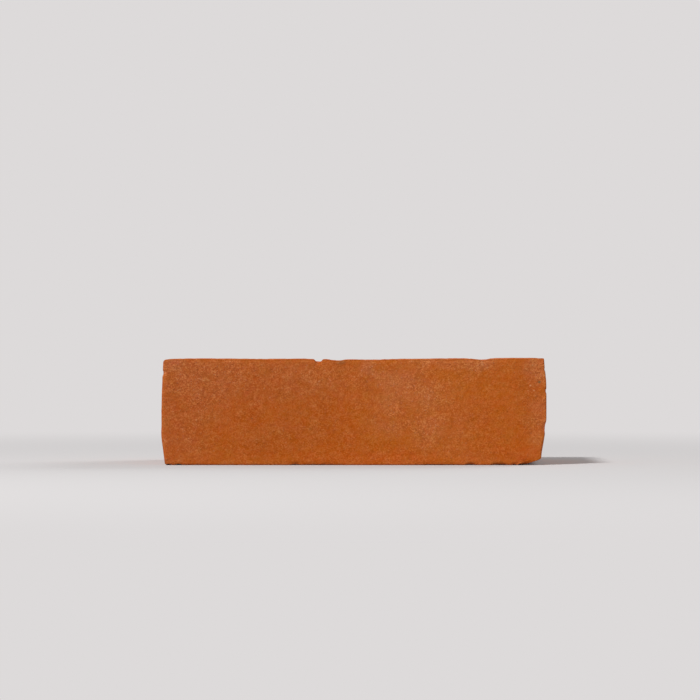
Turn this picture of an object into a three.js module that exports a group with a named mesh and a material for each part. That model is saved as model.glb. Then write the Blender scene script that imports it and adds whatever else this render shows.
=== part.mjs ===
// A solid clay facing brick, moulded from soft mud and fired as one piece.
//
// Millimetres, +Z up. The brick lies on its struck bed with the frog up, the way it is laid.
// X runs along its length, and one stretcher (a long narrow face) looks towards -Y.
// The origin is the middle of the lower bed.
//
// The whole surface is one loft. Rounded rectangles are stacked along a profile that starts
// on the lower bed, climbs the outer faces, crosses the flat rim of the upper bed and goes
// down the sloping walls of the frog to its floor.
import * as THREE from "three";

// The size. The format is 220 x 105 x 60, which courses at 230 x 70 with a 10 mm joint, and
// this brick came out of the kiln a millimetre over it in height.
const LENGTH = 220;
const WIDTH = 105;
const HEIGHT = 61;

// Edges. The mould leaves soft arrises, and the strike that levels its open side a tighter one.
const MOULDED_ARRIS = 1.9; // round the upper bed
const STRUCK_ARRIS = 1.3; // round the lower bed
const CORNER_RADIUS = 2.3; // of the four upright edges
const SHARPEST_CORNER = 0.3; // what an offset outline keeps where its corner would vanish

// The frog: a shallow tray pressed into the upper bed by the mould's kick.
const FROG_END_RIM = 35; // bed left between the frog and each header
const FROG_SIDE_RIM = 23; // bed left between the frog and each stretcher
const FROG_DEPTH = 12;
const FROG_CORNER = 14; // corner radius of its mouth
const FROG_LIP = 2.5; // rounding from the rim into the wall
const FROG_FLOOR_FILLET = 4; // rounding from the wall onto the floor
const FROG_WALL_LEAN = THREE.MathUtils.degToRad(32); // from upright, so the kick draws out

// Smoothness: straight steps in each quarter turn of a corner, and in each half of an arris.
const CORNER_STEPS = 8;
const ARC_STEPS = 4;

const FIRED_ORANGE = 0xaa5825;

// One stop of a profile: how far the outline is drawn in from the face, and its height.
const profilePoints = (path) => path.getPoints(ARC_STEPS).map(({ x, y }) => ({ inset: x, height: y }));

// The outer faces, from the lower bed's edge up to the rim of the upper bed.
function bodyProfile() {
  const path = new THREE.Path();
  path.absarc(STRUCK_ARRIS, STRUCK_ARRIS, STRUCK_ARRIS, -Math.PI / 2, -Math.PI, true);
  path.absarc(MOULDED_ARRIS, HEIGHT - MOULDED_ARRIS, MOULDED_ARRIS, Math.PI, Math.PI / 2, true);
  return profilePoints(path);
}

// The frog, from the edge of its mouth down its leaning wall to its floor. The two arcs turn
// by the same angle, and the straight wall between them makes up the rest of the depth.
function frogProfile() {
  const turn = Math.PI / 2 - FROG_WALL_LEAN;
  const wallDrop = FROG_DEPTH - (FROG_LIP + FROG_FLOOR_FILLET) * (1 - Math.cos(turn));
  const run = (FROG_LIP + FROG_FLOOR_FILLET) * Math.sin(turn) + wallDrop / Math.tan(turn);
  const floor = HEIGHT - FROG_DEPTH;
  const path = new THREE.Path();
  path.absarc(0, HEIGHT - FROG_LIP, FROG_LIP, Math.PI / 2, Math.PI / 2 - turn, true);
  path.absarc(run, floor + FROG_FLOOR_FILLET, FROG_FLOOR_FILLET, -Math.PI / 2 - turn, -Math.PI / 2, false);
  return profilePoints(path);
}

// A rounded rectangle drawn in by an inset, as a ring of points at one height, anticlockwise
// from above. Every ring has the same number of points, so any two can be joined.
function ring(length, width, corner, { inset, height }) {
  const radius = Math.max(corner - inset, SHARPEST_CORNER);
  const x = length / 2 - inset - radius;
  const y = width / 2 - inset - radius;
  const centres = [[x, y], [-x, y], [-x, -y], [x, -y]];
  return centres.flatMap(([cx, cy], quarter) => {
    const start = (quarter * Math.PI) / 2;
    const arc = new THREE.EllipseCurve(cx, cy, radius, radius, start, start + Math.PI / 2);
    return arc.getPoints(CORNER_STEPS).map((p) => new THREE.Vector3(p.x, p.y, height));
  });
}

// A closed skin over a stack of rings, with a flat cap on the first and on the last.
function loft(rings) {
  const count = rings[0].length;
  const triangles = [];
  for (let level = 0; level + 1 < rings.length; level++) {
    for (let i = 0; i < count; i++) {
      const here = level * count + i;
      const next = level * count + ((i + 1) % count);
      triangles.push(here, next, next + count, here, next + count, here + count);
    }
  }
  const cap = THREE.ShapeUtils.triangulateShape(rings[0], []);
  const last = (rings.length - 1) * count;
  for (const [a, b, c] of cap) {
    triangles.push(a, c, b, last + a, last + b, last + c);
  }
  const geometry = new THREE.BufferGeometry().setFromPoints(rings.flat());
  geometry.setIndex(triangles);
  geometry.computeVertexNormals();
  return geometry;
}

function brickGeometry() {
  const mouthLength = LENGTH - 2 * FROG_END_RIM;
  const mouthWidth = WIDTH - 2 * FROG_SIDE_RIM;
  const outside = bodyProfile().map((stop) => ring(LENGTH, WIDTH, CORNER_RADIUS, stop));
  const frog = frogProfile().map((stop) => ring(mouthLength, mouthWidth, FROG_CORNER, stop));
  return loft([...outside, ...frog]);
}

const clay = new THREE.MeshStandardMaterial({ color: FIRED_ORANGE, roughness: 0.95, metalness: 0 });

const brick = new THREE.Mesh(brickGeometry(), clay);
brick.name = "brick";

const group = new THREE.Group();
group.add(brick);

export default group;
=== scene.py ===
"""The looks of a moulded clay brick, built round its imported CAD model.

One mesh stands for the brick. Its skin is a fine grid over the CAD size, with the arrises and
the frog rounded in, and then a little of what moulding, firing and handling leave: uneven
faces, soft chips, pits and the drag marks of the struck bed. Its material is made of nodes.

Shapes are worked out in millimetres and stored in metres. +X runs along the brick, -Y looks
out of the photographed stretcher and +Z up out of the frogged bed.
"""
import itertools
import math
from collections import namedtuple

import bpy
import numpy as np
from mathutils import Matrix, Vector


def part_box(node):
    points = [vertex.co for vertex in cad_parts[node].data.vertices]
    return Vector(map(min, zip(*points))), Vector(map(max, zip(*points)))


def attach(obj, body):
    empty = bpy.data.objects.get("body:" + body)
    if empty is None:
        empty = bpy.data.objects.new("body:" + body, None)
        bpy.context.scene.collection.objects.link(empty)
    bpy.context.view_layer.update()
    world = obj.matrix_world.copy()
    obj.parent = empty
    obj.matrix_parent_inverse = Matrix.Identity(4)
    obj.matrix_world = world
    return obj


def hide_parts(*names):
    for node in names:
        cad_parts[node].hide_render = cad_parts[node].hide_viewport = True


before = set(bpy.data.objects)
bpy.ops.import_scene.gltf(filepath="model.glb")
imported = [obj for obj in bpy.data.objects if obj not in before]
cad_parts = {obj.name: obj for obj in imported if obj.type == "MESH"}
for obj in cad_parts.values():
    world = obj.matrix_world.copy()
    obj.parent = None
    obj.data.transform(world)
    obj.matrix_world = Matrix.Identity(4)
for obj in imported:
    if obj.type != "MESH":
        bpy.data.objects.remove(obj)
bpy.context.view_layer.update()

MM = 0.001

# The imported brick, in millimetres.
LOW, HIGH = (np.array(corner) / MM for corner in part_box("brick"))
LENGTH, WIDTH, HEIGHT = HIGH - LOW

# The photograph is taken as 700 x 700 pixels. These are where the brick stands in it.
PHOTO_SIZE = 700
PHOTO_BRICK_WIDTH = 386.3  # of the sharp box that the worn brick lies in
PHOTO_BRICK_CENTRE = (353.6, 411.6)
MM_PER_PIXEL = LENGTH / PHOTO_BRICK_WIDTH
CAMERA_DISTANCE = 2.0  # metres from the photographed face

# A layer of smooth noise: its height, the size of its cells in millimetres, and its seed.
Wave = namedtuple("Wave", "height cell seed")

# Edges, as the CAD model has them.
MOULDED_ARRIS = 1.9  # round the upper bed
STRUCK_ARRIS = 1.3  # round the lower bed
CORNER_RADIUS = 2.3  # of the four upright edges
# Between these heights the radius of one kind of edge turns into that of the next.
STRUCK_TURN = (3, 9)
MOULDED_TURN = (HEIGHT - 9, HEIGHT - 4)
ARRIS_WANDER = (Wave(0.28, 24, 31),)  # of those radii, as a share

# Where the photographed face kept keener arrises: pixel, reach in millimetres along x, y and z,
# and the share of their radii that they lack.
Keen = namedtuple("Keen", "pixel reach share")
KEEN_ARRISES = (
    Keen((545, 358), (10.0, 10.0, 10.0), 0.55),
    Keen((546, 404), (5.0, 5.0, 27.0), 0.60),
    Keen((350, 465), (114.0, 5.0, 5.0), 0.62),
)

# The frog, as the CAD model has it.
FROG_END_RIM = 35.0
FROG_SIDE_RIM = 23.0
FROG_DEPTH = 12.0
FROG_CORNER = 14.0
FROG_LIP = 2.5
FROG_FLOOR_FILLET = 4.0
FROG_WALL_LEAN = math.radians(32)
FROG_WANDER = 0.45  # how far the frog's outline strays from straight
FROG_WAVES = (Wave(1, 26, 33), Wave(0.4, 7, 34))

# The grid: a line every COARSE_STEP, and closer together across the arrises, the frog's walls
# and the nick in the upper arris.
COARSE_STEP = 1.06
ARRIS_STEP = 0.6
ARRIS_REACH = 4.0
WALL_STEP = 0.85
WALL_REACH = 6.5
WALL_MIDDLE = 5.0  # how far inside the frog's mouth
NICK_PIXEL_X = 318.6  # along the photograph
NICK_STEP = 0.5
NICK_REACH = 5.0
GRID_SAMPLES = 4001  # places where the closeness of the lines is worked out
ON_FACE = 0.001  # millimetres: a point this near to a face lies on it

HEADER_CROWN = 0.4  # how far the headers' upper and lower edges fall back from their middle
END_BAND = 26.0  # how much of each end draws in with its header

# How far the right end (side 1) or the left one (side -1) is worn back at the photographed face:
# most at the height edge, and nothing past its reach. Towards the back it is worn less.
Fall = namedtuple("Fall", "side depth edge reach")
WORN_ENDS = (
    Fall(1, 2.8, 0, 28),
    Fall(1, 8.0, 0, 4.0),
    Fall(1, 1.0, HEIGHT, 16),
    Fall(-1, 1.7, 0, 19),
    Fall(-1, 0.95, HEIGHT, 40),
)
WORN_AT_BACK = 0.2  # the share of that wear that is left at the far face

# Relief, in millimetres of clay missing below the CAD face.
MEAN_LOSS = 0.20
MOULDED_WAVES = (
    Wave(0.20, (48, 48, 40), 11),
    Wave(0.09, (15, 12, 10), 12),
    Wave(0.06, (5.5, 4, 3.6), 13),
    Wave(0.04, (2.4, 2.0, 2.0), 14),
)
STRUCK_WAVES = (
    Wave(0.16, (60, 4.0, 20), 21),
    Wave(0.12, (34, 1.9, 20), 22),
    Wave(0.10, (7, 6, 6), 23),
)

# Stretches of arris have crumbled: how deep at most, and the noise that places them, which starts
# to tell at the first value and tells in full at the second.
CRUMBLED = 0.8
CRUMBLED_WAVES = (Wave(1, 9, 61), Wave(0.55, 3.4, 62))
CRUMBLED_BETWEEN = (0.35, 1.3)

# Chips and pits, strewn at random: how many, how wide and how deep (least and most) and a seed.
Strewn = namedtuple("Strewn", "count reach depth seed")
EDGE_CHIPS = Strewn(34, (1.0, 5.0), (0.2, 1.5), 41)
PITS = Strewn(220, (0.7, 1.7), (0.15, 0.55), 42)
TORN_PITS = Strewn(70, (1.2, 3.4), (0.3, 1.1), 43)  # on the struck bed only
UNEVEN_REACH = (0.7, 1.3)  # least and most, by which a reach differs along x, y and z
# The photographed arrises have dents of their own instead of these chips, which set in between
# these places behind that face.
CHIPPED_BETWEEN = (LOW[1] + 1, LOW[1] + 9)
DAMAGE_WAVES = (Wave(0.5, 1.9, 44),)  # which roughen what is broken, as a share of its depth
FRESH_BETWEEN = (0.15, 0.7)  # depths of damage over which fresh clay comes to show

DENT_FALL = 1.6  # how soon a dent fades: a fifth of it is left at its reach
DENT_END = 2.5  # and nothing this many reaches away

# The way that the skin faces, by a part of its normal: where each starts, and where it is full.
FACES_A_SIDE = (0.8, 0.98)
FACES_THE_PHOTO = (0.35, 0.8)
FACES_UP = (0.1, 0.4)
FACES_DOWN = (0.5, 0.9)
EDGE_LIMIT = 0.9  # where no part of the normal is larger, chips may go, but no pits
PHOTOGRAPHED_LIMIT = 0.3  # no pits go where the skin faces the photo by more
STRUCK_LIMIT = 0.9  # torn pits go where the skin is the struck bed by more


# ------------------------------------------------------------------ places in the photograph

def along_front(pixel_x):
    """The place along the brick, in millimetres, where the photograph shows this column."""
    return (pixel_x - PHOTO_BRICK_CENTRE[0]) * MM_PER_PIXEL


def on_front(pixel):
    """The millimetre place on the photographed stretcher that a pixel shows."""
    z = HEIGHT / 2 - (pixel[1] - PHOTO_BRICK_CENTRE[1]) * MM_PER_PIXEL
    return np.array([along_front(pixel[0]), LOW[1], z])


# A soft spot on the photographed face: its centre and half sizes in pixels, and its weight.
Patch = namedtuple("Patch", "centre half weight")
PATCH_FALL = 0.8  # how soon it fades: nearly half of it is left at its half size

# Where pale moulding sand veils the clay, and how much of it there is on the rest of that face.
VEIL_ELSEWHERE = 0.10
VEIL_PATCHES = (
    Patch((245, 380), (95, 17), 0.26),  # the upper left
    Patch((250, 361), (92, 6), 0.12),
    Patch((266, 383), (28, 12), -0.14),
    Patch((212, 366), (14, 5), -0.07),
    Patch((303, 367), (14, 5), 0.08),
    Patch((183, 370), (16, 10), 0.06),
    Patch((170, 364), (11, 9), 0.35),
    Patch((176, 425), (26, 38), 0.20),  # the left end
    Patch((208, 408), (22, 14), 0.12),
    Patch((184, 412), (14, 20), -0.12),
    Patch((298, 430), (52, 6), 0.09),  # a thin streak below the middle
    Patch((330, 452), (80, 10), -0.05),
    Patch((334, 432), (16, 28), -0.07),
    Patch((333, 366), (16, 8), -0.08),
    Patch((363, 414), (14, 13), -0.07),
    Patch((370, 367), (9, 10), 0.50),
    Patch((400, 378), (24, 8), 0.35),  # the bloom right of the middle
    Patch((412, 394), (30, 14), 0.32),
    Patch((428, 396), (7, 7), 0.18),
    Patch((383, 408), (20, 16), 0.16),
    Patch((392, 427), (16, 8), 0.24),
    Patch((430, 431), (14, 12), 0.30),
    Patch((446, 420), (26, 26), 0.14),
    Patch((450, 361), (44, 6), 0.36),  # along the upper arris
    Patch((422, 366), (14, 6), 0.08),
    Patch((484, 363), (9, 8), 0.18),
    Patch((509, 379), (10, 7), 0.05),
    Patch((466, 458), (32, 5), 0.07),
    Patch((528, 366), (9, 6), 0.14),
    Patch((540, 368), (13, 14), 0.42),  # the right end
    Patch((541, 410), (12, 14), 0.36),
    Patch((541, 438), (12, 14), 0.25),
    Patch((524, 448), (12, 8), -0.07),
)
# Where the clay itself burnt a little darker, or lighter, and where painted light evens out the
# lamps' fall, as marked below.
SHADE_ELSEWHERE = 0.33
SHADE_PATCHES = (
    Patch((235, 412), (112, 66), 0.48),  # the left part
    Patch((245, 382), (95, 16), 0.28),
    Patch((182, 403), (20, 36), 0.34),
    Patch((253, 413), (8, 8), 0.17),
    Patch((259, 443), (10, 6), 0.23),
    Patch((270, 418), (7, 7), -0.20),
    Patch((227, 428), (7, 9), -0.17),
    Patch((332, 412), (14, 22), 0.24),
    Patch((340, 364), (9, 8), 0.40),
    Patch((185, 369), (22, 17), 0.26),
    Patch((333, 459), (18, 6), 0.22),
    Patch((262, 458), (28, 6), -0.15),
    Patch((483, 368), (14, 7), 0.20),
    Patch((478, 415), (8, 8), 0.10),
    Patch((460, 393), (55, 8), -0.14),
    # Painted light on the lower right and along its bottom, against the lamps' fall towards the
    # bottom.
    Patch((440, 445), (90, 16), -0.16),  # the lower right
    Patch((445, 461), (85, 6), -0.16),
    Patch((509, 379), (10, 8), -0.10),
    Patch((528, 390), (9, 28), 0.34),
    # Painted light along the right arris, against the shade of its rounding, turned from the key
    # lamp.
    Patch((546, 404), (5, 46), -0.45),  # lighter along the right arris
    Patch((526, 430), (6, 14), 0.23),
    Patch((548, 464), (9, 5), 0.60),
)
# Where it burnt redder.
RED_PATCHES = (
    Patch((370, 458), (62, 8), 0.75),
    Patch((343, 415), (18, 22), 0.30),
    Patch((487, 410), (38, 34), 0.15),
    Patch((529, 436), (9, 9), 0.30),
    Patch((500, 452), (30, 8), 0.45),
    Patch((527, 456), (16, 9), 0.60),
)
# How far the edges of these patches stray, in millimetres, and the noises that move them along
# x (axis 0) and z (axis 2).
PATCH_WARP = 3.0
WARP_WAVES = (
    (0, (Wave(1, 15, 56), Wave(0.5, 5, 57))),
    (2, (Wave(1, 15, 58), Wave(0.5, 5, 59))),
)

# The faces that the photograph doesn't show: the means and waves of their veil, shade and red.
HIDDEN_VEIL = 0.30
HIDDEN_VEIL_WAVES = (Wave(0.22, (46, 30, 26), 51), Wave(0.1, 13, 52))
HIDDEN_SHADE = 0.60
HIDDEN_SHADE_WAVES = (Wave(0.30, (60, 44, 40), 53),)
HIDDEN_RED = 0.15
HIDDEN_RED_WAVES = (Wave(0.35, (42, 36, 20), 54),)

# What rubbing takes off the veil along the upper arrises, and the tone taken off them as painted
# shade, against the highlight that the lamps put on their rounding.
RUBBED_VEIL = 0.16
RUBBED_PAINTED_SHADE = 0.22

# Where the upper bed hangs, from the photographed arris straight back along the line of sight:
# places along the photo and half widths in pixels, the depth in millimetres, and how many
# pixels the half width has grown by at the far arris.
Sag = namedtuple("Sag", "pixel_x half depth flare")
SAGS = (
    Sag(161, 6, 0.35, 10),
    Sag(165, 18, 0.22, 8),
    Sag(310, 165, 0.20, 0),
    Sag(246, 26, 0.20, 0),
    Sag(277, 10, 0.26, 10),
    Sag(NICK_PIXEL_X, 3.2, 1.60, 20),
    Sag(336.4, 5.6, 0.55, 14),
    Sag(351, 27, 0.30, 0),
    Sag(372, 9, 0.45, 14),
    Sag(402, 24, 0.26, 10),
    Sag(480.5, 7.4, 0.40, 8),
    Sag(482.6, 3.0, 0.50, 8),
)
SAG_WANDER = Wave(3.0, 22, 37)  # how the flared part strays sideways, in millimetres
SAG_FROM = 0.75  # the share of the brick's height above which the clay hangs with its bed
# A slight unevenness of that bed, which runs back in the same way.
RIPPLE_MEAN = 0.08
RIPPLES = (Wave(0.30, (8, 70, 70), 35), Wave(0.18, (3.2, 50, 50), 36))

# A dent in the front face or its arrises: pixel, reach and depth in millimetres.
Dent = namedtuple("Dent", "pixel reach depth")
FRONT_DENTS = (
    Dent((NICK_PIXEL_X, 359.6), (2.0, 3.0, 1.2), 0.35),
    Dent((374, 359), (1.6, 2.0, 1.2), 0.4),
    Dent((296, 465), (3.0, 2.0, 1.4), 0.8),
    Dent((322, 465), (12.0, 1.8, 1.2), 0.4),
    Dent((440, 465), (14.0, 1.8, 1.2), 0.35),
    Dent((471, 465), (3.2, 2.2, 1.4), 0.9),
    Dent((500, 465), (5.0, 2.2, 1.4), 0.9),
    Dent((525, 465), (5.0, 2.4, 1.6), 0.5),
    Dent((542, 466), (5.0, 5.0, 2.4), 0.9),  # the worn lower corner
    Dent((545, 369), (1.6, 8.0, 0.8), 0.5),
    Dent((546, 391), (1.6, 8.0, 0.8), 0.7),
    Dent((545.5, 427.5), (1.6, 9.0, 3.4), 0.7),
    Dent((162, 372.6), (1.8, 10.0, 1.6), 0.9),
    Dent((163.5, 464), (2.6, 4.0, 2.2), 0.6),
    Dent((252, 418.4), (0.9, 0.9, 0.9), 0.35),
    Dent((539, 382), (1.1, 1.1, 1.1), 0.45),
)

# A speck on the front face: its centre and half sizes in pixels, and how strongly it shows.
Mark = namedtuple("Mark", "centre half strength")
PALE_MARKS = (
    Mark((530.4, 385.5), (0.9, 0.9), 0.30),
    Mark((534.1, 390.4), (0.9, 0.7), 0.24),
    Mark((428.8, 397.5), (0.8, 2.4), 0.12),
    Mark((407.8, 387.7), (0.9, 0.8), 0.14),
    Mark((418.7, 421.5), (0.8, 0.8), 0.10),
    Mark((430.2, 446.4), (1.1, 0.7), 0.10),
    Mark((465.9, 443.2), (0.9, 0.8), 0.10),
    Mark((319.0, 381.5), (1.0, 0.8), 0.16),
    Mark((264.2, 388.4), (0.8, 0.9), 0.14),
    Mark((275.6, 407.5), (0.8, 0.8), 0.10),
    Mark((213.8, 450.9), (1.0, 0.7), 0.10),
    Mark((285.8, 442.6), (1.0, 0.7), 0.09),
    Mark((164.9, 372.4), (1.0, 1.4), 0.20),
    Mark((482.0, 363.2), (1.2, 2.4), 0.12),
    Mark((487.3, 367.6), (0.8, 1.2), 0.14),
)
DARK_MARKS = (
    Mark((340.8, 362.2), (5.0, 2.2), 0.30),
    Mark((539.4, 382.0), (1.5, 1.4), 0.80),
    Mark((310.0, 429.0), (0.9, 0.8), 0.30),
    Mark((201.0, 419.6), (1.6, 0.9), 0.22),
    Mark((424.0, 432.4), (1.3, 1.0), 0.25),
    Mark((252.0, 418.4), (0.9, 0.9), 0.40),
)


# ------------------------------------------------------------------------------------ noise

NOISE_PERIOD = 64  # cells before the noise repeats
NOISE_GAIN = 1.7  # which brings it to about -1 to 1


def gradient_noise(points, cell, seed):
    """Seeded smooth noise, whose cells are cell millimetres wide, or (x, y, z) millimetres."""
    rng = np.random.default_rng(seed)
    slopes = rng.normal(size=(NOISE_PERIOD,) * 3 + (3,))
    slopes /= np.linalg.norm(slopes, axis=-1, keepdims=True)
    place = points / np.asarray(cell, float) + rng.uniform(0, NOISE_PERIOD, 3)
    base = np.floor(place).astype(int)
    part = place - base
    fade = part**3 * (part * (part * 6 - 15) + 10)
    total = np.zeros(len(points))
    for corner in itertools.product((0, 1), repeat=3):
        slope = slopes[tuple(((base + corner) % NOISE_PERIOD).T)]
        weight = np.prod(np.where(corner, fade, 1 - fade), axis=1)
        total += weight * np.einsum("ij,ij->i", part - corner, slope)
    return total * NOISE_GAIN


def smoothstep(value, start, end):
    """0 before start, 1 after end, and a smooth rise between them."""
    t = np.clip((value - start) / (end - start), 0, 1)
    return t * t * (3 - 2 * t)


def summed(waves, points, mean=0):
    """The mean with every wave added to it, at each point."""
    heights = (wave.height * gradient_noise(points, wave.cell, wave.seed) for wave in waves)
    return sum(heights, mean)


# -------------------------------------------------------------------------------- the grid

def grid_lines(low, high, bands):
    """Places from low to high, COARSE_STEP apart, or closer in each band (centre, reach, step)."""
    along = np.linspace(low, high, GRID_SAMPLES)
    density = np.full(len(along), 1 / COARSE_STEP)
    for centre, reach, step in bands:
        density[np.abs(along - centre) < reach] = 1 / step
    count = np.concatenate([[0], np.cumsum((density[1:] + density[:-1]) / 2 * np.diff(along))])
    return np.interp(np.linspace(0, count[-1], round(count[-1]) + 1), count, along)


def box_skin(xs, ys, zs):
    """The points and outward quads of a box's surface, with a grid line at every given place."""
    lattice = np.stack(np.meshgrid(xs, ys, zs, indexing="ij"), axis=-1)
    outer = np.ones(lattice.shape[:3], bool)
    outer[1:-1, 1:-1, 1:-1] = False
    index = np.full(outer.shape, -1)
    index[outer] = np.arange(outer.sum())
    quads = []
    for axis, end in itertools.product(range(3), (0, -1)):
        side = np.take(index, end, axis=axis)
        quad = np.stack([side[:-1, :-1], side[1:, :-1], side[1:, 1:], side[:-1, 1:]], axis=-1)
        outward = (end == -1) == (axis != 1)
        quads.append(quad.reshape(-1, 4)[:, :: 1 if outward else -1])
    return lattice[outer], np.concatenate(quads)


def brick_grid():
    """The sharp box's points and quads."""
    bands = [
        [(face, ARRIS_REACH, ARRIS_STEP) for face in (LOW[axis], HIGH[axis])] for axis in range(3)
    ]
    for axis, half, rim in ((0, LENGTH / 2, FROG_END_RIM), (1, WIDTH / 2, FROG_SIDE_RIM)):
        wall = half - rim - WALL_MIDDLE
        bands[axis] += [(-wall, WALL_REACH, WALL_STEP), (wall, WALL_REACH, WALL_STEP)]
    bands[0].append((along_front(NICK_PIXEL_X), NICK_REACH, NICK_STEP))
    return box_skin(*(grid_lines(LOW[axis], HIGH[axis], bands[axis]) for axis in range(3)))


# ------------------------------------------------------------------------- the brick's form

def kept_keen(points):
    """The share of its arris radius that each point lacks."""
    lacking = np.zeros(len(points))
    for place in KEEN_ARRISES:
        near = dent(points, on_front(place.pixel), place.reach)
        lacking = np.maximum(lacking, place.share * near)
    return lacking


def arris_radius(points):
    """The rounding that each point of the sharp box gets, if it lies near an edge."""
    height = points[:, 2]
    radius = np.where(
        height < HEIGHT / 2,
        STRUCK_ARRIS + (CORNER_RADIUS - STRUCK_ARRIS) * smoothstep(height, *STRUCK_TURN),
        CORNER_RADIUS + (MOULDED_ARRIS - CORNER_RADIUS) * smoothstep(height, *MOULDED_TURN),
    )
    radius *= 1 - kept_keen(points)
    return radius * summed(ARRIS_WANDER, points, 1)


def rounded(points):
    """The sharp box's points, moved onto the rounded one."""
    radius = arris_radius(points)[:, None]
    core = np.clip(points, LOW + radius, HIGH - radius)
    out = points - core
    return core + out / np.linalg.norm(out, axis=1, keepdims=True) * radius


def frog_drop(inset):
    """How deep the frog is at a distance in from the edge of its mouth."""
    turn = math.pi / 2 - FROG_WALL_LEAN
    lip_run = FROG_LIP * math.sin(turn)
    lip_drop = FROG_LIP * (1 - math.cos(turn))
    fillet_run = FROG_FLOOR_FILLET * math.sin(turn)
    fillet_drop = FROG_FLOOR_FILLET * (1 - math.cos(turn))
    wall_run = (FROG_DEPTH - lip_drop - fillet_drop) / math.tan(turn)
    run = lip_run + wall_run + fillet_run
    lip = FROG_LIP - np.sqrt(np.clip(FROG_LIP**2 - np.clip(inset, 0, lip_run) ** 2, 0, None))
    wall = lip_drop + (inset - lip_run) * math.tan(turn)
    left = np.clip(run - inset, 0, fillet_run)
    fillet = FROG_DEPTH - FROG_FLOOR_FILLET + np.sqrt(FROG_FLOOR_FILLET**2 - left**2)
    return np.where(inset < lip_run, lip, np.where(inset < lip_run + wall_run, wall, fillet))


def frog_inset(points):
    """How far each point lies inside the frog's mouth, seen from above."""
    half = np.array([LENGTH / 2 - FROG_END_RIM, WIDTH / 2 - FROG_SIDE_RIM])
    beyond = np.abs(points[:, :2]) - (half - FROG_CORNER)
    outside = np.linalg.norm(np.clip(beyond, 0, None), axis=1)
    return FROG_CORNER - outside - np.clip(beyond.max(axis=1), None, 0)


def vertex_normals(points, quads):
    """The way that the skin faces at each point."""
    corner = points[quads]
    face = np.cross(corner[:, 2] - corner[:, 0], corner[:, 3] - corner[:, 1])
    normals = np.zeros_like(points)
    for i in range(4):
        np.add.at(normals, quads[:, i], face)
    return normals / np.linalg.norm(normals, axis=1, keepdims=True)


def dent(points, centre, reach):
    """How much of a dent each point takes: 1 at its centre, and soon nothing past its reach."""
    away = (points - centre) / reach
    return np.exp(-DENT_FALL * np.einsum("ij,ij->i", away, away) ** 2)


def between(ends, share):
    """What lies a share of the way from the first of two ends to the second."""
    return ends[0] + (ends[1] - ends[0]) * share


def scattered(points, chosen, strewn):
    """The clay lost to dents of random reach and depth, at points picked from chosen."""
    rng = np.random.default_rng(strewn.seed)
    loss = np.zeros(len(points))
    for centre in points[rng.choice(np.flatnonzero(chosen), strewn.count)]:
        size = rng.uniform() ** 3  # most are small
        reach = between(strewn.reach, size) * rng.uniform(*UNEVEN_REACH, 3)
        depth = between(strewn.depth, size)
        near = np.abs(points - centre).max(axis=1) < DENT_END * reach.max()
        loss[near] = np.maximum(loss[near], depth * dent(points[near], centre, reach))
    return loss


def moulded_form():
    """The brick's points, quads and normals, with its arrises and frog but no wear."""
    sharp, quads = brick_grid()
    points = rounded(sharp)
    upper = sharp[:, 2] > HIGH[2] - ON_FACE
    inset = frog_inset(points) + FROG_WANDER * summed(FROG_WAVES, points)
    points[:, 2] -= np.where(upper & (inset > 0), frog_drop(inset), 0)
    return points, quads, vertex_normals(points, quads)


def seen_along(points):
    """How far along the photographed face the camera sees each point."""
    eye = along_front(PHOTO_SIZE / 2)
    behind = (points[:, 1] - LOW[1]) * MM
    return eye + (points[:, 0] - eye) * CAMERA_DISTANCE / (CAMERA_DISTANCE + behind)


def draw_headers_in(points):
    """Moves the headers back, more towards their edges and most where they are worn."""
    level = np.abs(points[:, 2] / (HEIGHT / 2) - 1)
    end = smoothstep(np.abs(points[:, 0]), LENGTH / 2 - END_BAND, LENGTH / 2)
    points[:, 0] -= np.sign(points[:, 0]) * HEADER_CROWN * level**3 * end
    near_front = 1 - (1 - WORN_AT_BACK) * smoothstep(points[:, 1], LOW[1], HIGH[1])
    for fall in WORN_ENDS:
        near_edge = 1 - smoothstep(np.abs(points[:, 2] - fall.edge), 0, fall.reach)
        this_end = points[:, 0] * fall.side > 0
        points[:, 0] -= fall.side * fall.depth * near_edge * near_front * end * this_end


def let_bed_sag(points):
    """Lowers the upper bed where it hangs."""
    high_part = smoothstep(points[:, 2], HEIGHT * SAG_FROM, HEIGHT)
    behind = (points[:, 1] - LOW[1]) / WIDTH
    along = seen_along(points)
    hang = RIPPLE_MEAN + summed(RIPPLES, np.stack([along, points[:, 1], points[:, 1]], axis=1))
    hang = np.clip(hang, 0, None)
    noise = gradient_noise(points, SAG_WANDER.cell, SAG_WANDER.seed)
    strayed = along + SAG_WANDER.height * behind * noise
    for sag in SAGS:
        half = (sag.half + sag.flare * behind) * MM_PER_PIXEL
        away = (strayed - along_front(sag.pixel_x)) / half
        hang += sag.depth * np.exp(-(away**4))
    points[:, 2] -= hang * high_part


def turned(normals):
    """1 where the skin faces between two of the box's sides, as an arris does, and 0 on them."""
    return 1 - smoothstep(np.abs(normals).max(axis=1), *FACES_A_SIDE)


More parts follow.
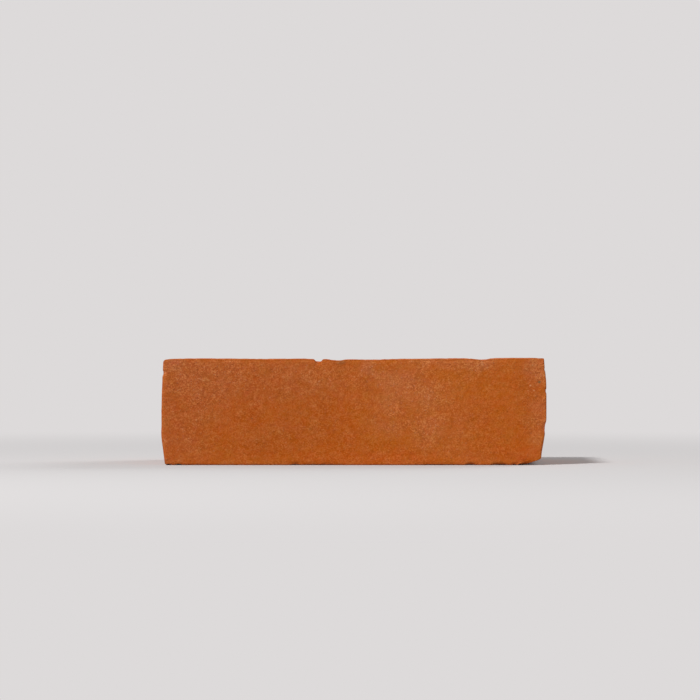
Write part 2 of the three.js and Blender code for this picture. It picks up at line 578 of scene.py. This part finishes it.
def worn(points, normals):
    """The clay lost at each point, and how much of it has been broken away."""
    struck = smoothstep(-normals[:, 2], *FACES_DOWN)
    waves = (1 - struck) * summed(MOULDED_WAVES, points) + struck * summed(STRUCK_WAVES, points)
    edge = np.abs(normals).max(axis=1) < EDGE_LIMIT
    chips = scattered(points, edge & (frog_inset(points) < 0), EDGE_CHIPS)
    crumbling = smoothstep(summed(CRUMBLED_WAVES, points), *CRUMBLED_BETWEEN)
    chips = np.maximum(chips, CRUMBLED * turned(normals) * crumbling)
    chips *= smoothstep(points[:, 1], *CHIPPED_BETWEEN)
    photographed = normals[:, 1] < -PHOTOGRAPHED_LIMIT
    pits = scattered(points, ~photographed & ~edge, PITS)
    torn = scattered(points, struck > STRUCK_LIMIT, TORN_PITS)
    for place in FRONT_DENTS:
        taken = dent(points, on_front(place.pixel), place.reach)
        chips = np.maximum(chips, place.depth * taken)
    damage = (chips + pits + torn) * summed(DAMAGE_WAVES, points, 1)
    return np.clip(MEAN_LOSS + waves, 0, None) * (1 - kept_keen(points)) + damage, damage


# -------------------------------------------------------------------------- painted masks

def patched(points, patches):
    """The weight that soft patches of the photographed face give to each point."""
    total = np.zeros(len(points))
    for patch in patches:
        centre = on_front(patch.centre)
        half = np.array(patch.half) * MM_PER_PIXEL
        away = np.abs(points[:, [0, 2]] - centre[[0, 2]]) / half
        total += patch.weight * np.exp(-PATCH_FALL * (away**3).sum(axis=1))
    return total


def warped(points):
    """The points, each moved a little along x and z, so that what is painted on strays too."""
    moved = points.copy()
    for axis, waves in WARP_WAVES:
        moved[:, axis] += PATCH_WARP * summed(waves, points)
    return moved


def masks(points, normals, damage):
    """The named values, 0 to 1, that the clay's material reads at each point."""
    front = smoothstep(-normals[:, 1], *FACES_THE_PHOTO)
    place = warped(points)
    veil = summed(HIDDEN_VEIL_WAVES, points, HIDDEN_VEIL)
    veil += front * (VEIL_ELSEWHERE + patched(place, VEIL_PATCHES) - veil)
    shade = summed(HIDDEN_SHADE_WAVES, points, HIDDEN_SHADE)
    shade += front * (SHADE_ELSEWHERE + patched(place, SHADE_PATCHES) - shade)
    red = summed(HIDDEN_RED_WAVES, points, HIDDEN_RED)
    red += front * (patched(place, RED_PATCHES) - red)
    # The upper arrises are rubbed bare of sand, and darkened with painted shade against the
    # highlight that the lamps put on their rounding.
    rubbed_and_painted_shade = turned(normals) * smoothstep(normals[:, 2], *FACES_UP) * (frog_inset(points) < 0)
    return {
        "veil": veil - RUBBED_VEIL * rubbed_and_painted_shade,
        "shade": shade,
        "rubbed_and_painted_shade": rubbed_and_painted_shade,
        "red": red,
        "fresh": smoothstep(damage, *FRESH_BETWEEN),
        "photographed": front,
    }


# -------------------------------------------------------------------------------- the mesh

def new_object(name, data):
    """A new object in the scene."""
    made = bpy.data.objects.new(name, data)
    bpy.context.scene.collection.objects.link(made)
    return made


def build_brick():
    """The brick's one mesh, with the values that its material reads."""
    points, quads, normals = moulded_form()
    loss, damage = worn(points, normals)
    values = masks(points, normals, damage)
    draw_headers_in(points)
    let_bed_sag(points)
    points = np.clip(points - normals * loss[:, None], LOW, HIGH)
    points[:, 2] -= points[:, 2].min() - LOW[2]  # so that it lies on the floor
    mesh = bpy.data.meshes.new("fired_brick")
    mesh.from_pydata((points * MM).tolist(), [], quads.tolist())
    mesh.polygons.foreach_set("use_smooth", [True] * len(quads))
    for name, value in values.items():
        attribute = mesh.attributes.new(name, "FLOAT", "POINT")
        attribute.data.foreach_set("value", np.clip(value, 0, 1).astype(np.float32))
    mesh.update()
    return new_object("fired_brick", mesh)


# ------------------------------------------------------------------------------ the clay

def srgb(red, green, blue):
    """A colour written as 0 to 255 in sRGB, as the linear values that Blender takes."""
    parts = (value / 255 for value in (red, green, blue))
    return (*(p / 12.92 if p <= 0.04045 else ((p + 0.055) / 1.055) ** 2.4 for p in parts), 1)


BODY = srgb(179, 87.7, 14)
DARK_BODY = srgb(165.5, 77, 14)
RED_BODY = srgb(180, 80.5, 14)
OCHRE = srgb(174.5, 89, 14)
FILM = srgb(236, 199, 178)
GRIT = srgb(226, 214, 146)
SPECK = srgb(228, 180, 136)
SAND = srgb(226, 206, 184)
SOOT = srgb(84, 44, 26)
FRESH_CLAY = srgb(178, 84, 30)
GREY_SPOT = srgb(110, 84, 50)

# The noises of the clay: the width of their features in millimetres, how many finer layers they
# have and how strong those are, how they are stretched along x, y and z, and where they start.
Noise = namedtuple("Noise", "cell detail roughness stretch shift")
NOISES = {
    "cloud": Noise(8, 3, 0.75, (1.3, 1, 1), 0),
    "drift": Noise(30, 2, 0.5, (1.4, 1, 1), 3),
    "streak": Noise(2.6, 2, 0.5, (9, 3, 1), 7),
    "zone": Noise(11, 1, 0.5, (1.2, 1, 1), 15),
    "mottle": Noise(4, 1.5, 0.5, (1.2, 1, 1), 5),
    "blush": Noise(5, 3, 0.75, (1.2, 1, 1), 21),
    "clump": Noise(5.5, 1, 0.5, (1, 1, 1), 9),
    "crumb": Noise(2.4, 1, 0.5, (1, 1, 1), 11),
    "fine": Noise(0.62, 1, 0.5, (1, 1, 1), 14),
}
# Cells for the grains, which are a random shade each: their width, and where they start.
GRAIN_CELL = 0.64
GRAIN_SHIFT = 13

# How much each of these sways a value up and down.
VEIL_SWAYS = {"cloud": 0.47, "streak": 0.12, "mottle": 0.45}
SHADE_SWAYS = {"drift": 0.23, "cloud": -0.20}
TEXTURE_SWAYS = {"grain": 0.29, "fine": 0.56, "crumb": 0.30, "clump": 0.15}
# Blush makes the clay a little redder here, and a little yellower there.
RUDDY_SWAYS = {"blush": 0.14}
PALLID_SWAYS = {"blush": -0.29}

# Round spots: the width in millimetres of the cells that they lie in, the share of the cells that
# has one, the radius as a share of the cell, and where the cells start.
Spots = namedtuple("Spots", "cell share radius shift")
SAND_GRAINS = Spots(1.5, 0.35, 0.3, 17)
PORES = Spots(1.9, 0.30, 0.26, 19)
SOOT_SPOTS = Spots(11, 0.3, 0.055, 23)
PALE_SPOTS = Spots(14, 0.3, 0.04, 29)
SPOT_CORE = 0.6  # the share of the radius within which a spot is full

# One value that follows another: as that goes from low to high, this goes smoothly from the
# third number to the fourth.
Ramp = namedtuple("Ramp", "low high to_low to_high")
OCHRE_BY_DRIFT = Ramp(0.5, 0.75, 0.0, 0.25)
TEXTURE_BY_VEIL = Ramp(0.0, 0.6, 0.70, 1.36)
TEXTURE_BY_ZONE = Ramp(0.35, 0.65, 0.75, 1.3)
SAND_BY_VEIL = Ramp(0.0, 0.6, 0.02, 0.09)
ROUGHNESS_BY_GRAIN = Ramp(0.2, 0.8, 0.98, 0.86)
MARK_BY_DISTANCE = Ramp(0.5, 1.5, 1.0, 0.0)  # the distance in half sizes of the mark
MARK_DEPTH = 1.5  # how far into the clay a mark reaches, in millimetres

# One value that follows another in a straight line: its slope, and where it starts.
FILM_BY_VEIL = (0.090, 0.001)
GRIT_BY_TEXTURE = (0.23, 0.0115)
TONE_BY_TEXTURE = (0.66, 0.98)

# How strongly these show.
FRESH_SHOWS = 0.6
SOOT_SHOWS = 0.7
PALE_SHOWS = 0.35
PORE_TONE = 0.14  # by how much a pore is darker

# The fine relief: how high crumbs, sand and pores stand beside the finest noise, and how strong
# and deep it all is.
CRUMB_RELIEF = 1.4
SAND_RELIEF = 0.25
PORE_RELIEF = -0.35
BUMP_STRENGTH = 0.6
BUMP_DEPTH = 0.3  # millimetres


class Graph:
    """A node tree that is written as a sum of calls: each gives the socket that it makes."""

    def __init__(self, tree):
        tree.nodes.clear()
        self.tree = tree

    def add(self, kind, inputs, output=0, **settings):
        node = self.tree.nodes.new(kind)
        for name, value in settings.items():
            setattr(node, name, value)
        for socket, value in inputs.items():
            if isinstance(value, bpy.types.NodeSocket):
                self.tree.links.new(value, node.inputs[socket])
            else:
                node.inputs[socket].default_value = value
        return node.outputs[output]

    def shown_by(self, kind, surface):
        """Ends the tree: surface is what the material or the world shows."""
        self.tree.links.new(surface, self.tree.nodes.new(kind).inputs["Surface"])

    def math(self, operation, *values):
        return self.add("ShaderNodeMath", dict(enumerate(values)), operation=operation)

    def ramp(self, value, low, high, to_low=0.0, to_high=1.0):
        """value, as it goes from low to high, turned smoothly into to_low to to_high."""
        sockets = {0: value, 1: low, 2: high, 3: to_low, 4: to_high}
        return self.add("ShaderNodeMapRange", sockets, interpolation_type="SMOOTHSTEP")

    def mix(self, factor, first, second, blend="MIX"):
        sockets = {0: factor, 6: first, 7: second}
        return self.add("ShaderNodeMix", sockets, output=2, data_type="RGBA", blend_type=blend)

    def named(self, attribute):
        return self.add("ShaderNodeAttribute", {}, output="Fac", attribute_name=attribute)

    def place(self):
        """Where a point lies, in metres in the object's own frame."""
        return self.add("ShaderNodeTexCoord", {}, output="Object")

    def in_cells(self, cell, stretch, shift):
        """Where a point lies, counted in cells of cell millimetres."""
        scale = [1 / (cell * MM * s) for s in stretch]
        sockets = {"Vector": self.place(), "Location": (shift,) * 3, "Scale": scale}
        return self.add("ShaderNodeMapping", sockets)

    def noise(self, cell, detail, roughness, stretch, shift):
        """Noise, 0 to 1 about 0.5, with features cell millimetres wide."""
        return self.add("ShaderNodeTexNoise", {
            "Vector": self.in_cells(cell, stretch, shift),
            "Scale": 1.0,
            "Detail": detail,
            "Roughness": roughness,
        })

    def cells(self, cell, shift):
        """For cells cell millimetres wide: a random 0 to 1 in each, and how far its middle is."""
        sockets = {"Vector": self.in_cells(cell, (1, 1, 1), shift), "Scale": 1.0}
        distance = self.add("ShaderNodeTexVoronoi", sockets, output="Distance")
        colour = distance.node.outputs["Color"]
        return self.add("ShaderNodeSeparateColor", {0: colour}), distance

    def spots(self, cell, share, radius, shift):
        """Round spots, 1 inside: one in a share of the cells, radius as a share of the cell."""
        chance, distance = self.cells(cell, shift)
        inside = self.ramp(distance, radius * SPOT_CORE, radius, 1.0, 0.0)
        return self.math("MULTIPLY", self.math("LESS_THAN", chance, share), inside)

    def mark(self, mark):
        """A mark on the photographed face: its strength inside, and softly 0 outside it."""
        centre = tuple(on_front(mark.centre) * MM)
        away = self.add("ShaderNodeVectorMath", {0: self.place(), 1: centre}, operation="SUBTRACT")
        half_x, half_z = (half * MM_PER_PIXEL * MM for half in mark.half)
        sockets = {0: away, 1: (half_x, MARK_DEPTH * MM, half_z)}
        shares = self.add("ShaderNodeVectorMath", sockets, operation="DIVIDE")
        distance = self.add("ShaderNodeVectorMath", {0: shares}, output="Value", operation="LENGTH")
        return self.math("MULTIPLY", self.ramp(distance, *MARK_BY_DISTANCE), mark.strength)


def new_material(name):
    """A new material, and its node tree, still empty."""
    material = bpy.data.materials.new(name)
    material.use_nodes = True
    return material, Graph(material.node_tree)


def clay_material():
    """Fired clay under moulding sand."""
    material, graph = new_material("fired_clay")
    noises = {name: graph.noise(*noise) for name, noise in NOISES.items()}
    noises["grain"], _ = graph.cells(GRAIN_CELL, GRAIN_SHIFT)
    sand = graph.spots(*SAND_GRAINS)
    pores = graph.spots(*PORES)

    def swayed(value, sways):
        """value, with each named noise, centred and times its amount, added to it."""
        for name, amount in sways.items():
            centred = graph.math("SUBTRACT", noises[name], 0.5)
            value = graph.math("MULTIPLY_ADD", centred, amount, value)
        return value

    veil = swayed(graph.named("veil"), VEIL_SWAYS)
    veil = graph.math("MINIMUM", graph.math("MAXIMUM", veil, 0.0), 1.0)
    shade = swayed(graph.named("shade"), SHADE_SWAYS)

    colour = graph.mix(shade, BODY, DARK_BODY)
    colour = graph.mix(graph.named("red"), colour, RED_BODY)
    colour = graph.mix(graph.ramp(noises["drift"], *OCHRE_BY_DRIFT), colour, OCHRE)
    fresh = graph.math("MULTIPLY", graph.named("fresh"), FRESH_SHOWS)
    colour = graph.mix(fresh, colour, FRESH_CLAY)

    # Grains, crumbs and clumps: each lightens or darkens the clay and holds more or less sand.
    texture = swayed(0.0, TEXTURE_SWAYS)
    texture = graph.math("MULTIPLY", texture, graph.ramp(veil, *TEXTURE_BY_VEIL))
    texture = graph.math("MULTIPLY", texture, graph.ramp(noises["zone"], *TEXTURE_BY_ZONE))

    # A pale film of moulding sand lies over the clay, thicker where it veils.
    film = graph.math("MULTIPLY_ADD", veil, *FILM_BY_VEIL)
    colour = graph.mix(film, colour, FILM)
    gritty = graph.math("MAXIMUM", graph.math("MULTIPLY_ADD", texture, *GRIT_BY_TEXTURE), 0.0)
    colour = graph.mix(gritty, colour, GRIT)
    sand_shows = graph.math("MULTIPLY", sand, graph.ramp(veil, *SAND_BY_VEIL))
    colour = graph.mix(sand_shows, colour, SAND)

    tone = graph.math("MULTIPLY_ADD", texture, *TONE_BY_TEXTURE)
    tone = graph.math("MULTIPLY_ADD", pores, -PORE_TONE, tone)
    # Painted shade along the upper arrises, against the highlight that the lamps put on them.
    tone = graph.math("MULTIPLY_ADD", graph.named("rubbed_and_painted_shade"), -RUBBED_PAINTED_SHADE, tone)
    parts = {0: swayed(tone, RUDDY_SWAYS), 1: swayed(tone, PALLID_SWAYS), 2: tone}
    tint = graph.add("ShaderNodeCombineColor", parts)
    colour = graph.mix(1.0, colour, tint, blend="MULTIPLY")

    elsewhere = graph.math("SUBTRACT", 1.0, graph.named("photographed"))
    for spots, shows, paint in ((SOOT_SPOTS, SOOT_SHOWS, SOOT), (PALE_SPOTS, PALE_SHOWS, SAND)):
        shown = graph.math("MULTIPLY", graph.spots(*spots), elsewhere)
        colour = graph.mix(graph.math("MULTIPLY", shown, shows), colour, paint)
    for marks, paint in ((DARK_MARKS, GREY_SPOT), (PALE_MARKS, SPECK)):
        for mark in marks:
            colour = graph.mix(graph.mark(mark), colour, paint)

    relief = graph.math("MULTIPLY_ADD", noises["crumb"], CRUMB_RELIEF, noises["fine"])
    relief = graph.math("MULTIPLY_ADD", sand, SAND_RELIEF, relief)
    relief = graph.math("MULTIPLY_ADD", pores, PORE_RELIEF, relief)
    bump = graph.add("ShaderNodeBump", {
        "Strength": BUMP_STRENGTH,
        "Distance": BUMP_DEPTH * MM,
        "Height": relief,
    })
    shader = graph.add("ShaderNodeBsdfPrincipled", {
        "Base Color": colour,
        "Roughness": graph.ramp(noises["grain"], *ROUGHNESS_BY_GRAIN),
        "Specular IOR Level": 0.1,
        "Diffuse Roughness": 0.1,
        "Normal": bump,
    })
    graph.shown_by("ShaderNodeOutputMaterial", shader)
    return material


# --------------------------------------------------------------------------- the studio

BACKGROUND = srgb(221, 218, 218)
FLOOR_COLOUR = srgb(197, 194.5, 194.5)
FLOOR_RADIUS = 9.0  # metres
FLOOR_SIDES = 96
FADE_START = 0.22  # metres from the brick, where the floor starts to turn into backdrop
FADE_END = 0.85
SKY_STRENGTH = 0.30


def seen_directly(graph):
    """1 for rays that show the background to the eye, straight or by gloss or glass."""
    rays = ("Is Camera Ray", "Is Glossy Ray", "Is Transmission Ray")
    camera, glossy, through = (graph.add("ShaderNodeLightPath", {}, output=ray) for ray in rays)
    return graph.math("MAXIMUM", camera, graph.math("MAXIMUM", glossy, through))


def light_world():
    """An even sky of its own for the light, behind the plain background that is seen."""
    world = bpy.data.worlds.new("studio")
    world.use_nodes = True
    bpy.context.scene.world = world
    graph = Graph(world.node_tree)
    light = graph.add("ShaderNodeBackground", {"Color": (1, 1, 1, 1), "Strength": SKY_STRENGTH})
    shown = graph.add("ShaderNodeBackground", {"Color": BACKGROUND, "Strength": 1.0})
    both = graph.add("ShaderNodeMixShader", {0: seen_directly(graph), 1: light, 2: shown})
    graph.shown_by("ShaderNodeOutputWorld", both)


def build_floor():
    """A wide pale disc that keeps the brick's shadow and fades into the background."""
    turns = [2 * math.pi * i / FLOOR_SIDES for i in range(FLOOR_SIDES)]
    rim = [(FLOOR_RADIUS * math.cos(t), FLOOR_RADIUS * math.sin(t), 0) for t in turns]
    mesh = bpy.data.meshes.new("floor")
    mesh.from_pydata(rim, [], [range(FLOOR_SIDES)])
    floor = new_object("floor", mesh)

    material, graph = new_material("floor")
    matt = graph.add("ShaderNodeBsdfDiffuse", {"Color": FLOOR_COLOUR})
    shown = graph.add("ShaderNodeEmission", {"Color": BACKGROUND, "Strength": 1.0})
    away = graph.add("ShaderNodeVectorMath", {0: graph.place()}, output="Value", operation="LENGTH")
    fade = graph.math("MULTIPLY", graph.ramp(away, FADE_START, FADE_END), seen_directly(graph))
    both = graph.add("ShaderNodeMixShader", {0: fade, 1: matt, 2: shown})
    graph.shown_by("ShaderNodeOutputMaterial", both)
    mesh.materials.append(material)


def aim(thing, target):
    """Turns a lamp to face target."""
    away = Vector(target) - thing.location
    thing.rotation_euler = away.to_track_quat("-Z", "Y").to_euler()


def add_softbox(name, location, size, power):
    """A round lamp of size metres and power watts that faces the brick."""
    light = bpy.data.lights.new(name, "AREA")
    light.shape = "DISK"
    light.size = size
    light.energy = power
    lamp = new_object(name, light)
    lamp.location = location
    aim(lamp, (0, 0, HEIGHT / 2 * MM))


def add_lights():
    add_softbox("key", location=(-1.2, -1.6, 2.2), size=0.5, power=84)
    add_softbox("back_fill", location=(1.9, 1.9, 1.2), size=2.2, power=48)


# ---------------------------------------------------------------------------- the camera

SENSOR_WIDTH = 36.0  # millimetres


def add_camera():
    """A level camera, square to the photographed face, with the brick where the photo has it."""
    camera = bpy.data.cameras.new("camera")
    camera.sensor_width = SENSOR_WIDTH
    camera.lens = SENSOR_WIDTH * CAMERA_DISTANCE / (PHOTO_SIZE * MM_PER_PIXEL * MM)
    holder = new_object("camera", camera)
    middle = on_front((PHOTO_SIZE / 2, PHOTO_SIZE / 2)) * MM
    holder.location = (middle[0], middle[1] - CAMERA_DISTANCE, middle[2])
    holder.rotation_euler = (math.pi / 2, 0, 0)
    bpy.context.scene.camera = holder


# ------------------------------------------------------------------------------ the scene

brick = build_brick()
brick.data.materials.append(clay_material())
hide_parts("brick")
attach(brick, "root")

build_floor()
light_world()
add_lights()
add_camera()
bpy.context.scene.view_settings.view_transform = "Standard"
